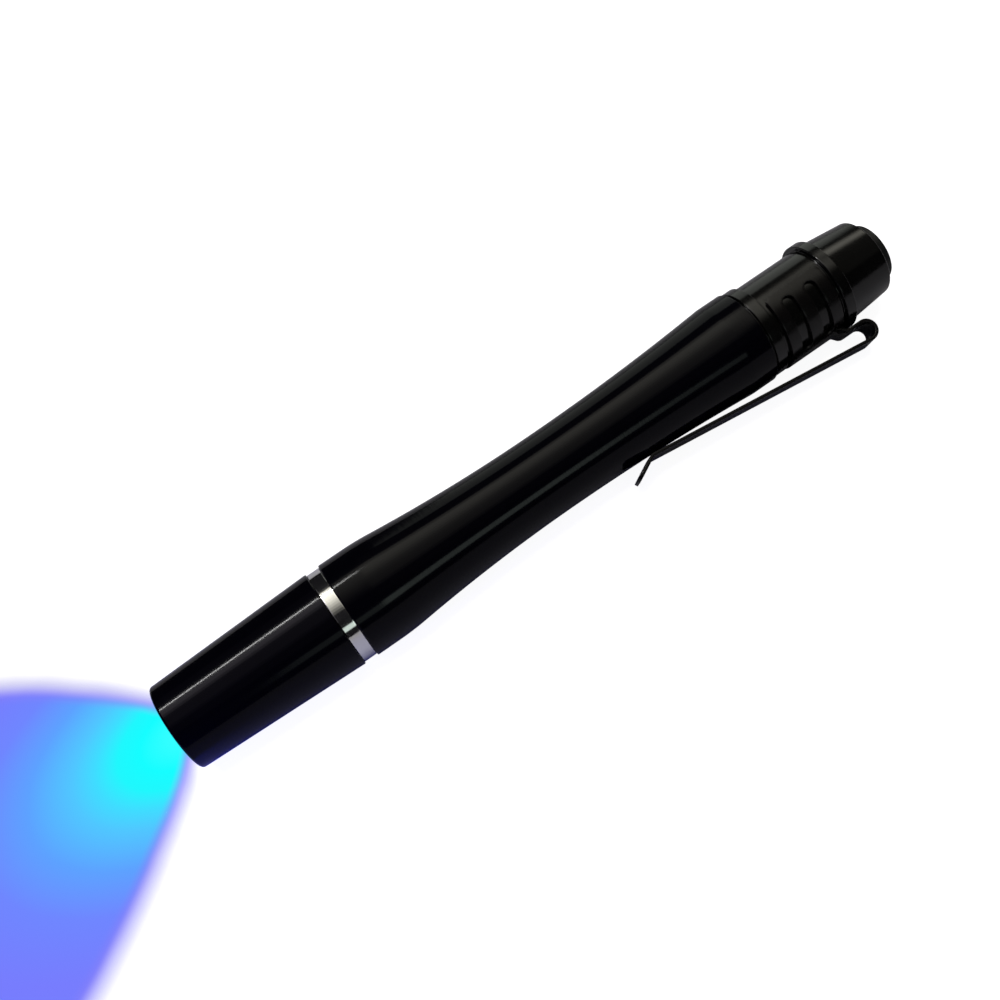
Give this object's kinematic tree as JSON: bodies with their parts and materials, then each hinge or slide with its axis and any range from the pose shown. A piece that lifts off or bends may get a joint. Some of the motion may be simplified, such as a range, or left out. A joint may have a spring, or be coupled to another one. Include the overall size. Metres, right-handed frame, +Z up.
{
  "type": "uv curing lamp",
  "caption": "Pen-size ultraviolet curing lamp with a screw-on LED head, waisted barrel for AAA cells, tail push button and sprung pocket clip.",
  "frame": {"origin": "centre of the lamp's footprint on the surface that it lies on", "axes": "+X along the lamp from the light end to the button end, +Z up; the lamp lies on its side with the clip low on the -Y side"},
  "size_m": [0.132, 0.0198, 0.0162],
  "materials": {
    "black_anodised": "gloss black anodised, fine turning marks",
    "satin_anodised": "satin black anodised, fine turning marks",
    "polished_aluminium": "bright polished",
    "clip_black": "semi-gloss black coated spring steel",
    "button_rubber": "matt black moulded rubber",
    "black_rubber": "smooth seal rubber",
    "lens_glass": "clear with a faint violet coating",
    "mirror_aluminium": "vapour-coated reflector",
    "led_emitter": "clear dome over a violet emitter",
    "board_aluminium": "white solder mask on an aluminium board",
    "plain_aluminium": "bare turned",
    "white_plastic": "natural white",
    "dark_plastic": "black moulded",
    "dark_component": "black moulded packages",
    "red_wire": "red insulation",
    "black_wire": "black insulation",
    "green_board": "green solder mask with gold pads",
    "contact_brass": "gold-plated spring",
    "contact_steel": "nickel-plated spring",
    "battery_wrap": "plain wrapped cell, bare metal ends"
  },
  "bodies": {
    "main_body": {"barrel": "black_anodised", "battery_front": "battery_wrap", "battery_rear": "battery_wrap"},
    "head_slide": {"trim_ring": "polished_aluminium"},
    "head": {"head_shell": "black_anodised", "lens_retainer": "black_anodised", "lens_oring": "black_rubber", "front_lens": "lens_glass", "reflector": "mirror_aluminium", "led_gasket": "white_plastic", "uv_led": "led_emitter", "led_board": "board_aluminium", "heat_sink": "plain_aluminium", "led_wire_positive": "red_wire", "led_wire_negative": "black_wire", "driver_board": "green_board", "driver_components": "dark_component", "front_spring": "contact_brass", "head_oring": "black_rubber"},
    "tail_slide": {"tail_oring": "black_rubber"},
    "tail": {"tail_cap": "satin_anodised", "battery_spring": "contact_steel", "switch_retainer": "plain_aluminium", "switch_board": "green_board", "switch_housing": "dark_plastic", "boot_washer": "white_plastic", "boot_flange": "button_rubber"},
    "button": {"button_crown": "button_rubber", "switch_plunger": "white_plastic"},
    "clip": {"clip_band": "clip_black"},
    "clip_spring": {"clip_arm": "clip_black"}
  },
  "joints": [
    {"name": "head_advance", "type": "slide", "parent": "main_body", "child": "head_slide", "axis": [-1, 0, 0], "range_m": [0, 0.003]},
    {"name": "head_unscrew", "type": "hinge", "parent": "head_slide", "child": "head", "pos_m": [-0.03585, 0.0018, 0.00808], "axis": [-1, 0, 0], "range_deg": [0, 1440]},
    {"name": "tail_advance", "type": "slide", "parent": "main_body", "child": "tail_slide", "axis": [1, 0, 0], "range_m": [0, 0.003]},
    {"name": "tail_unscrew", "type": "hinge", "parent": "tail_slide", "child": "tail", "pos_m": [0.03985, 0.0018, 0.00808], "axis": [1, 0, 0], "range_deg": [0, 1440]},
    {"name": "button_press", "type": "slide", "parent": "tail", "child": "button", "axis": [-1, 0, 0], "range_m": [0, 0.0015], "stiffness_N_per_m": 3000},
    {"name": "clip_swivel", "type": "hinge", "parent": "tail", "child": "clip", "pos_m": [0.048, 0.0018, 0.00808], "axis": [1, 0, 0], "continuous": true},
    {"name": "clip_flex", "type": "hinge", "parent": "clip", "child": "clip_spring", "pos_m": [0.05575, -0.00706, 0.00301], "axis": [0, -0.4966, 0.868], "range_deg": [0, 7], "stiffness_Nm_per_rad": 1.5}
  ],
  "couplings": [
    {"joint": "head_unscrew", "follows": "head_advance", "rad_per_m": 8377.6},
    {"joint": "tail_unscrew", "follows": "tail_advance", "rad_per_m": 8377.6}
  ]
}
